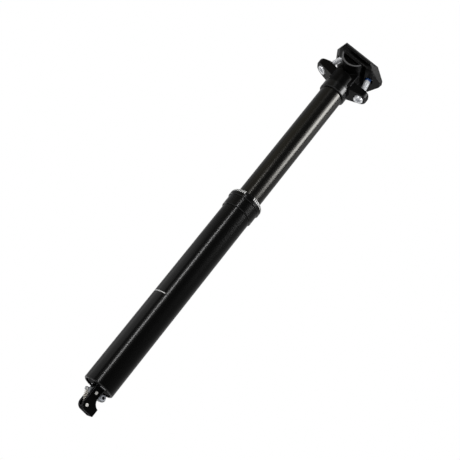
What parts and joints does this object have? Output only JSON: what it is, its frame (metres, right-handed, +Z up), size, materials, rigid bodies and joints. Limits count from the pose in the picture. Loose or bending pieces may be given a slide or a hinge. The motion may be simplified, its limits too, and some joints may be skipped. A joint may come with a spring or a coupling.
{
  "type": "dropper seatpost",
  "caption": "Bicycle dropper seatpost: a black post sliding in a clamped lower tube on a locking gas spring, with a tilting saddle clamp on top and a cable release at the foot",
  "frame": {"origin": "on the post's axis at the underside of the collar, where the frame's seat tube ends", "axes": "+Z up the post, +X to the front of the saddle, +Y to the left; the post stands at full height"},
  "size_m": [0.0681, 0.05, 0.469],
  "materials": {
    "anodised_black": "satin black anodised",
    "gloss_black": "polished black anodised",
    "forged_black": "satin black over a forged surface",
    "zinc_steel": "bright zinc plated",
    "pin_steel": "ground, pale ends",
    "dark_steel": "black oxide",
    "spring_steel": "drawn spring wire",
    "brass": "turned",
    "rod_chrome": "hard chromed",
    "plain_aluminium": "turned",
    "seal_rubber": "matte black rubber",
    "buffer_rubber": "cast elastomer",
    "bushing_plastic": "sliding plastic"
  },
  "bodies": {
    "lower": {"outer_tube": "anodised_black", "collar": "anodised_black", "seal_ring": "anodised_black", "wiper_seal": "seal_rubber", "upper_bushing": "bushing_plastic", "end_cap": "plain_aluminium", "end_cap_seal": "seal_rubber", "actuator_bracket": "anodised_black", "bracket_screws": "zinc_steel", "pivot_pin": "pin_steel", "spring_pin": "pin_steel", "return_spring": "spring_steel", "piston_rod": "rod_chrome", "rod_lock_nut": "zinc_steel", "bottom_bumper": "buffer_rubber", "piston": "plain_aluminium", "piston_seal": "seal_rubber"},
    "post": {"stanchion": "gloss_black", "lower_bushing": "bushing_plastic", "guide_keys": "brass", "spring_cylinder": "plain_aluminium", "cylinder_gland": "plain_aluminium", "rod_seal": "seal_rubber", "cylinder_cap": "plain_aluminium", "head": "forged_black"},
    "floater": {"floating_piston": "plain_aluminium", "floating_seal": "seal_rubber"},
    "clamp": {"lower_cradle": "forged_black", "upper_clamp": "forged_black"},
    "front_screw": {"front_bolt": "zinc_steel", "front_washer": "zinc_steel"},
    "rear_screw": {"rear_bolt": "zinc_steel", "rear_washer": "zinc_steel"},
    "front_trunnion": {"front_nut": "zinc_steel"},
    "rear_trunnion": {"rear_nut": "zinc_steel"},
    "lever": {"rocker": "zinc_steel"},
    "barrel": {"cable_barrel": "zinc_steel", "barrel_screw": "dark_steel"},
    "needle": {"release_needle": "rod_chrome", "release_button": "brass"}
  },
  "joints": [
    {"name": "post_travel", "type": "slide", "parent": "lower", "child": "post", "axis": [0, 0, 1], "range_m": [-0.15, 0], "stiffness_N_per_m": 700, "springref_m": 0.25},
    {"name": "float_slide", "type": "slide", "parent": "post", "child": "floater", "axis": [0, 0, 1], "range_m": [0, 0.0375]},
    {"name": "saddle_tilt", "type": "hinge", "parent": "post", "child": "clamp", "pos_m": [0.0015, 0, 0.2105], "axis": [0, 1, 0], "range_deg": [-6, 6]},
    {"name": "front_bolt_swing", "type": "hinge", "parent": "post", "child": "front_screw", "pos_m": [0.02515, 0, 0.18238], "axis": [0, 1, 0], "range_deg": [-2, 2]},
    {"name": "rear_bolt_swing", "type": "hinge", "parent": "post", "child": "rear_screw", "pos_m": [-0.02502, 0, 0.19269], "axis": [0, 1, 0], "range_deg": [-2, 2]},
    {"name": "front_nut_turn", "type": "hinge", "parent": "clamp", "child": "front_trunnion", "pos_m": [0.0199, 0, 0.21609], "axis": [0, 1, 0], "range_deg": [-6, 6]},
    {"name": "rear_nut_turn", "type": "hinge", "parent": "clamp", "child": "rear_trunnion", "pos_m": [-0.01347, 0, 0.22258], "axis": [0, 1, 0], "range_deg": [-6, 6]},
    {"name": "release_lever", "type": "hinge", "parent": "lower", "child": "lever", "pos_m": [0, 0, -0.2194], "axis": [-0.7071, 0.7071, 0], "range_deg": [0, 28], "stiffness_Nm_per_rad": 0.3, "springref_deg": -20.05, "deforming": ["return_spring"]},
    {"name": "needle_lift", "type": "slide", "parent": "lower", "child": "needle", "axis": [0, 0, 1], "range_m": [0, 0.00117]},
    {"name": "barrel_turn", "type": "hinge", "parent": "lever", "child": "barrel", "pos_m": [0.00622, 0.00622, -0.2183], "axis": [-0.7071, 0.7071, 0], "range_deg": [-28, 0]}
  ],
  "couplings": [
    {"joint": "float_slide", "follows": "post_travel", "ratio": -0.25},
    {"joint": "front_bolt_swing", "follows": "saddle_tilt", "ratio": 0.07893},
    {"joint": "rear_bolt_swing", "follows": "saddle_tilt", "ratio": 0.18315},
    {"joint": "front_nut_turn", "follows": "saddle_tilt", "ratio": -0.92107},
    {"joint": "rear_nut_turn", "follows": "saddle_tilt", "ratio": -0.81685},
    {"joint": "release_lever", "follows": "needle_lift", "rad_per_m": 416.67},
    {"joint": "barrel_turn", "follows": "needle_lift", "rad_per_m": -416.67}
  ]
}
